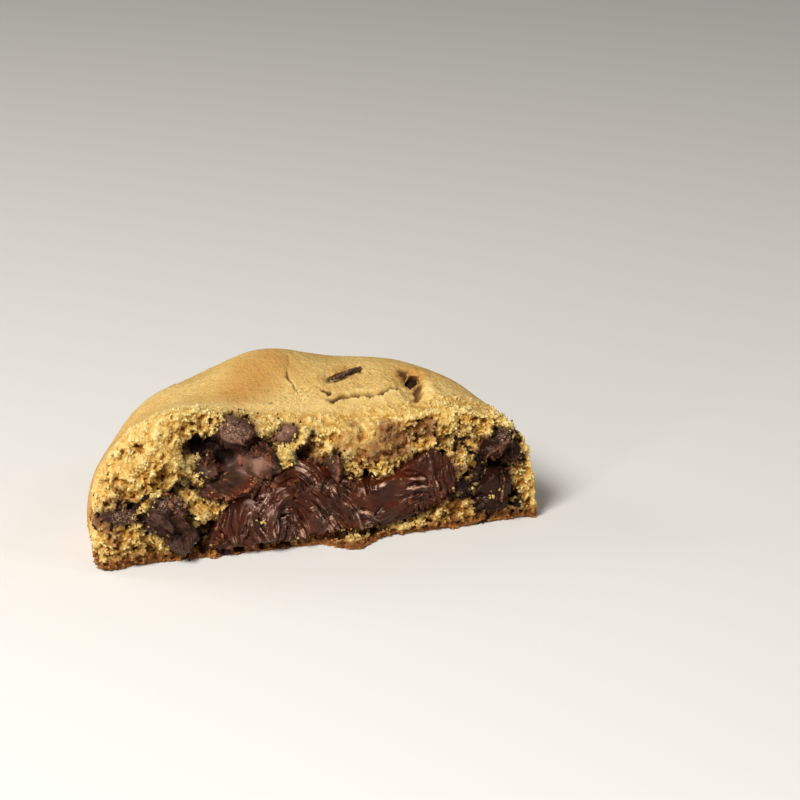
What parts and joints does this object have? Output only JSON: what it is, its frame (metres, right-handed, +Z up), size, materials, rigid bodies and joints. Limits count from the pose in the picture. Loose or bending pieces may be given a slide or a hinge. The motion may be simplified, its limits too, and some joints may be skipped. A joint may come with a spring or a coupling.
{
  "type": "half cookie",
  "caption": "Half of a thick soft cookie torn across the middle, with a molten dark chocolate filling and chopped chocolate chunks in golden crumb.",
  "frame": {"origin": "middle of the overall box, on the plane that the baked base rests on", "axes": "+X along the tear, the torn face looks along -Y, +Z up out of the baked top"},
  "size_m": [0.0956, 0.0551, 0.034],
  "materials": {
    "baked_dough": "golden baked crust, and torn crumb that is granular and matt",
    "molten_chocolate": "dark melted chocolate, glossy and pulled into folds",
    "chocolate_chunk": "solid dark chocolate, broken faces with a soft sheen"
  },
  "bodies": {
    "root": {"dough": "baked_dough", "molten_heart": "molten_chocolate", "chunk_upper_left": "chocolate_chunk", "chunk_under_crust": "chocolate_chunk", "chunk_splinter": "chocolate_chunk", "chunk_lower_left": "chocolate_chunk", "chunk_left_edge": "chocolate_chunk", "chunk_right_upper": "chocolate_chunk", "chunk_right_lower": "chocolate_chunk", "chunk_crust_sliver": "chocolate_chunk", "chunk_crust_dip": "chocolate_chunk", "chunk_crust_back": "chocolate_chunk"}
  },
  "joints": []
}
